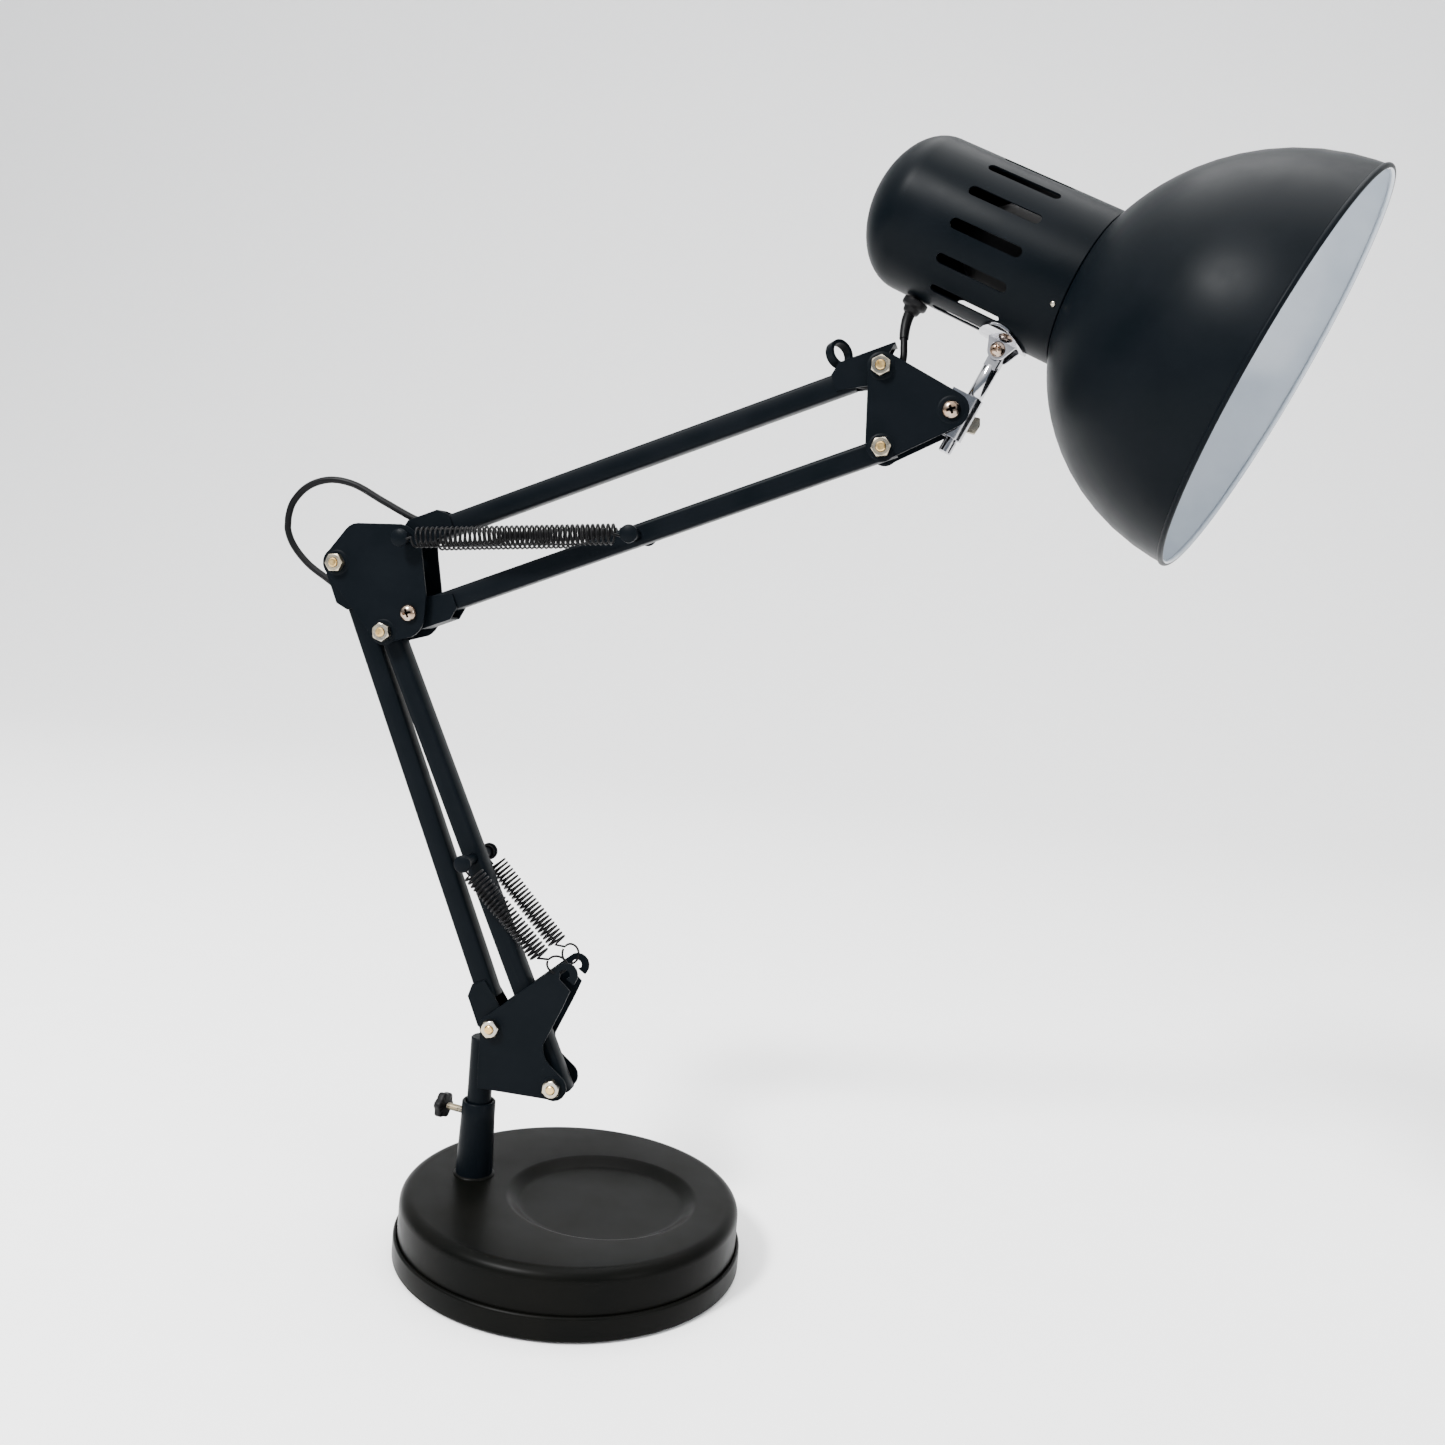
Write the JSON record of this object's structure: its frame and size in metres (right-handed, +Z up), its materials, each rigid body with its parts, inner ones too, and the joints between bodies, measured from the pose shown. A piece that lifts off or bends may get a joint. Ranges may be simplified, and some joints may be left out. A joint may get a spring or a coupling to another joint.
{
  "type": "swing arm desk lamp",
  "caption": "Swing arm desk lamp with a weighted round base, spring balanced parallel bars, a chrome knuckle and a domed metal shade on a vented socket sleeve.",
  "frame": {"origin": "centre of the round base's underside, on the table", "axes": "+Z up, +X along the arm towards the lamp head, +Y to the left of the arm seen from behind, so the arm lies in the plane Y = 0"},
  "size_m": [0.4916, 0.2367, 0.5424],
  "materials": {
    "satin_black_paint": "smooth satin black enamel",
    "black_spring_steel": "black coated spring wire",
    "chrome_plate": "polished chrome",
    "zinc_plate": "bright zinc plated steel",
    "black_plastic": "moulded black plastic",
    "black_lead": "smooth black PVC sheath",
    "iron_weight": "rough casting",
    "rubber_pad": "matt black pad"
  },
  "bodies": {
    "base": {"foot_pad": "rubber_pad", "base_tray": "satin_black_paint", "base_cover": "satin_black_paint", "base_weight": "iron_weight", "post_bolt": "zinc_plate", "post_tube": "satin_black_paint", "tail_lead_lower": "black_lead", "table_lead": "black_lead", "lead_coil": "black_lead", "mains_plug": "black_plastic"},
    "thumb_screw": {"thumb_screw_shaft": "zinc_plate", "thumb_screw_knob": "black_plastic"},
    "turret": {"swivel_stem": "satin_black_paint", "lower_bracket_near": "satin_black_paint", "lower_bracket_far": "satin_black_paint", "rear_foot_bolt": "zinc_plate", "front_foot_bolt": "zinc_plate", "lower_spring_near": "black_spring_steel", "lower_spring_far": "black_spring_steel", "tail_lead_upper": "black_lead"},
    "rear_bar": {"rear_bar": "satin_black_paint", "rear_bar_foot_saddle": "satin_black_paint", "rear_bar_knee_saddle": "satin_black_paint", "rear_bar_lead": "black_lead"},
    "front_bar": {"front_bar": "satin_black_paint", "lower_spring_pin": "satin_black_paint"},
    "middle_bracket": {"middle_bracket_near": "satin_black_paint", "middle_bracket_far": "satin_black_paint", "rear_knee_bolt": "zinc_plate", "front_knee_bolt": "zinc_plate", "lower_knee_screw": "zinc_plate", "upper_knee_pin": "satin_black_paint", "upper_spring_near": "black_spring_steel", "upper_spring_far": "black_spring_steel", "elbow_lead_upper": "black_lead", "elbow_lead_lower": "black_lead"},
    "top_bar": {"top_bar": "satin_black_paint", "top_bar_knee_saddle": "satin_black_paint", "top_bar_wrist_saddle": "satin_black_paint", "top_bar_lead": "black_lead"},
    "lower_bar": {"lower_bar": "satin_black_paint", "lower_bar_saddle": "satin_black_paint", "upper_spring_pin": "satin_black_paint"},
    "head_bracket": {"head_bracket_near": "satin_black_paint", "head_bracket_far": "satin_black_paint", "upper_wrist_bolt": "zinc_plate", "lower_wrist_bolt": "zinc_plate", "clamp_screw": "zinc_plate", "head_lead_lower": "black_lead"},
    "wing_nut": {"wing_nut": "zinc_plate"},
    "knuckle": {"clamp_strap": "chrome_plate"},
    "rod": {"knuckle_rod": "chrome_plate"},
    "head": {"socket_sleeve": "satin_black_paint", "shade": "satin_black_paint", "lampholder": "black_plastic", "shade_ring": "black_plastic", "saddle_plate": "chrome_plate", "saddle_screw": "zinc_plate", "cord_gland": "black_plastic", "head_lead_upper": "black_lead"}
  },
  "joints": [
    {"name": "post_swivel", "type": "hinge", "parent": "base", "child": "turret", "pos_m": [-0.0511, 0, 0.09], "axis": [0, 0, 1], "range_deg": [-90, 90], "deforming": ["tail_lead_lower"]},
    {"name": "thumb_screw_turn", "type": "hinge", "parent": "base", "child": "thumb_screw", "pos_m": [-0.0511, 0, 0.0633], "axis": [-0.9781, 0.2079, 0], "continuous": true},
    {"name": "lower_arm", "type": "hinge", "parent": "turret", "child": "rear_bar", "pos_m": [-0.0436, 0, 0.1118], "axis": [0, 1, 0], "range_deg": [-1.4, 50], "deforming": ["tail_lead_upper"]},
    {"name": "front_bar_pivot", "type": "hinge", "parent": "turret", "child": "front_bar", "pos_m": [-0.0106, 0, 0.0865], "axis": [0, 1, 0], "range_deg": [-3, 53], "deforming": ["lower_spring_near", "lower_spring_far"]},
    {"name": "middle_bracket_pivot", "type": "hinge", "parent": "rear_bar", "child": "middle_bracket", "pos_m": [-0.1388, 0, 0.3301], "axis": [0, 1, 0], "range_deg": [-62, 3], "deforming": ["elbow_lead_lower"]},
    {"name": "upper_arm", "type": "hinge", "parent": "middle_bracket", "child": "top_bar", "pos_m": [-0.1037, 0, 0.3445], "axis": [0, 1, 0], "range_deg": [-40, 40], "deforming": ["elbow_lead_upper"]},
    {"name": "lower_bar_pivot", "type": "hinge", "parent": "middle_bracket", "child": "lower_bar", "pos_m": [-0.1002, 0, 0.309], "axis": [0, 1, 0], "range_deg": [-41, 41], "deforming": ["upper_spring_near", "upper_spring_far"]},
    {"name": "head_bracket_pivot", "type": "hinge", "parent": "top_bar", "child": "head_bracket", "pos_m": [0.1149, 0, 0.4378], "axis": [0, 1, 0], "range_deg": [-41, 41], "deforming": ["head_lead_lower"]},
    {"name": "wing_nut_turn", "type": "hinge", "parent": "head_bracket", "child": "wing_nut", "pos_m": [0.1474, 0, 0.4207], "axis": [0, 1, 0], "continuous": true},
    {"name": "head_tilt", "type": "hinge", "parent": "head_bracket", "child": "knuckle", "pos_m": [0.1474, 0, 0.4207], "axis": [0, 1, 0], "range_deg": [-12, 60], "deforming": ["head_lead_upper"]},
    {"name": "rod_swivel", "type": "hinge", "parent": "knuckle", "child": "rod", "pos_m": [0.15254, 0, 0.41843], "axis": [0.4035, 0, 0.915], "range_deg": [-75, 75], "deforming": ["head_lead_upper"]},
    {"name": "head_nod", "type": "hinge", "parent": "rod", "child": "head", "pos_m": [0.16565, -0.00034, 0.44815], "axis": [0.1902, 0.9781, -0.0839], "range_deg": [-5, 25], "deforming": ["head_lead_upper"]}
  ],
  "couplings": [
    {"joint": "front_bar_pivot", "follows": "lower_arm", "ratio": 1.0407},
    {"joint": "middle_bracket_pivot", "follows": "lower_arm", "ratio": -1.2022},
    {"joint": "lower_bar_pivot", "follows": "upper_arm", "ratio": 1},
    {"joint": "head_bracket_pivot", "follows": "upper_arm", "ratio": -1}
  ]
}
